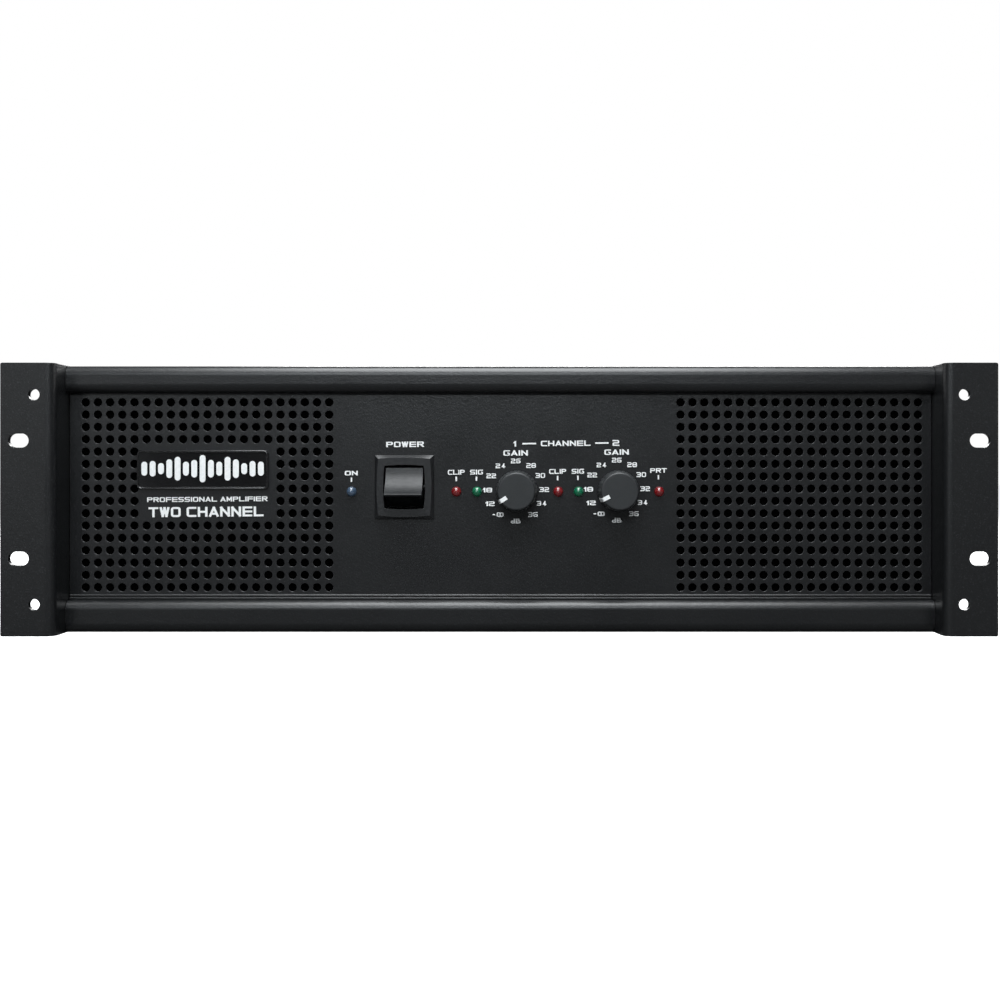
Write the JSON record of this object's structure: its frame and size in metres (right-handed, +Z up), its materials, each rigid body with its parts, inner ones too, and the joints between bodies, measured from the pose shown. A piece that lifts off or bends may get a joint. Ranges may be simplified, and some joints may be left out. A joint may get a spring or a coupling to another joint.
{
  "type": "rack-mount power amplifier",
  "caption": "Three-unit black steel rack amplifier with perforated front grilles, a rocker power switch, gain knobs, status lamps and fan-cooled rear connectors.",
  "frame": {"origin": "centre of the four rack-screw slots, on the rear face of the ears, where they meet the rack rails", "axes": "+X to the right seen from the front, +Y to the rear, +Z up; the front faces -Y"},
  "size_m": [0.4826, 0.4062, 0.1324],
  "materials": {
    "powder_black": "fine-texture black powder coat",
    "black_screw": "black zinc plating",
    "zinc_steel": "bright zinc plating",
    "badge_black": "gloss black with a raised rim",
    "switch_plastic": "satin moulded black",
    "rocker_plastic": "semi-gloss moulded black",
    "tinned_brass": "tinned brass",
    "knob_grey": "matt charcoal with moulded flutes",
    "pointer_white": "matt white",
    "shaft_aluminium": "turned",
    "led_blue": "tinted clear resin, unlit",
    "led_red": "red diffused resin, unlit",
    "led_green": "green diffused resin, unlit",
    "circuit_board": "glass-epoxy board with green solder mask",
    "winding_film": "strip-wound core and copper under amber film, with the density of iron",
    "rubber_pad": "neoprene pad",
    "capacitor_sleeve": "shrink sleeve",
    "rectifier_case": "cast case",
    "heatsink_aluminium": "black anodised extrusion",
    "transistor_case": "moulded epoxy",
    "fan_plastic": "glass-filled black",
    "guard_wire": "nickel-chrome plated wire",
    "connector_plastic": "moulded black",
    "nickel_shell": "satin nickel",
    "slider_white": "moulded white",
    "ribbon_grey": "grey PVC ribbon",
    "filter_foam": "open-cell black foam"
  },
  "bodies": {
    "chassis": {"chassis_tray": "powder_black", "top_cover": "powder_black", "front_panel": "powder_black", "rack_ear_left": "powder_black", "rack_ear_right": "powder_black", "rear_panel": "powder_black", "rear_supports": "powder_black", "cover_screws": "black_screw", "ear_screws": "black_screw", "support_screws": "black_screw", "connector_screws": "black_screw", "fan_screws": "black_screw", "panel_brackets": "zinc_steel", "board_standoffs": "zinc_steel", "transformer_clamp": "zinc_steel", "transformer_bolt": "zinc_steel", "pot_nuts": "zinc_steel", "potentiometers": "zinc_steel", "badge_plate": "badge_black", "power_switch_body": "switch_plastic", "switch_terminals": "tinned_brass", "inlet_pins": "tinned_brass", "ground_screw": "tinned_brass", "led_power": "led_blue", "leds_red": "led_red", "leds_green": "led_green", "control_board": "circuit_board", "supply_board": "circuit_board", "amplifier_boards": "circuit_board", "input_board": "circuit_board", "toroidal_transformer": "winding_film", "transformer_pads": "rubber_pad", "filter_capacitors": "capacitor_sleeve", "bridge_rectifiers": "rectifier_case", "heatsinks": "heatsink_aluminium", "output_transistors": "transistor_case", "fan_frames": "fan_plastic", "fan_guards": "guard_wire", "mains_inlet": "connector_plastic", "xlr_inserts": "connector_plastic", "jack_sockets": "connector_plastic", "mode_switch_body": "connector_plastic", "speaker_sockets": "connector_plastic", "speaker_posts": "connector_plastic", "xlr_sockets": "nickel_shell", "ribbon_cable": "ribbon_grey", "grille_filters": "filter_foam"},
    "power_rocker_body": {"power_rocker": "rocker_plastic"},
    "gain_control_1": {"gain_knob_1": "knob_grey", "knob_pointer_1": "pointer_white", "pot_shaft_1": "shaft_aluminium"},
    "gain_control_2": {"gain_knob_2": "knob_grey", "knob_pointer_2": "pointer_white", "pot_shaft_2": "shaft_aluminium"},
    "fan_1": {"fan_rotor_1": "fan_plastic"},
    "fan_2": {"fan_rotor_2": "fan_plastic"},
    "input_latch_1": {"xlr_latch_1": "nickel_shell"},
    "input_latch_2": {"xlr_latch_2": "nickel_shell"},
    "mode_selector": {"mode_slider": "slider_white"}
  },
  "joints": [
    {"name": "power_rocker_tilt", "type": "hinge", "parent": "chassis", "child": "power_rocker_body", "pos_m": [-0.048, 0.0216, 0.0058], "axis": [1, 0, 0], "range_deg": [-34, 0]},
    {"name": "gain_1_turn", "type": "hinge", "parent": "chassis", "child": "gain_control_1", "pos_m": [0.0081, 0, 0.0038], "axis": [0, 1, 0], "range_deg": [-23, 267]},
    {"name": "gain_2_turn", "type": "hinge", "parent": "chassis", "child": "gain_control_2", "pos_m": [0.0588, 0, 0.0038], "axis": [0, 1, 0], "range_deg": [-29, 261]},
    {"name": "fan_1_spin", "type": "hinge", "parent": "chassis", "child": "fan_1", "pos_m": [-0.148, 0.37, 0], "axis": [0, 1, 0], "continuous": true},
    {"name": "fan_2_spin", "type": "hinge", "parent": "chassis", "child": "fan_2", "pos_m": [0.148, 0.37, 0], "axis": [0, 1, 0], "continuous": true},
    {"name": "input_latch_1_push", "type": "slide", "parent": "chassis", "child": "input_latch_1", "axis": [0, -1, 0], "range_m": [0, 0.0018], "stiffness_N_per_m": 400, "springref_m": -0.0005},
    {"name": "input_latch_2_push", "type": "slide", "parent": "chassis", "child": "input_latch_2", "axis": [0, -1, 0], "range_m": [0, 0.0018], "stiffness_N_per_m": 400, "springref_m": -0.0005},
    {"name": "mode_select", "type": "slide", "parent": "chassis", "child": "mode_selector", "axis": [1, 0, 0], "range_m": [0, 0.0066]}
  ]
}
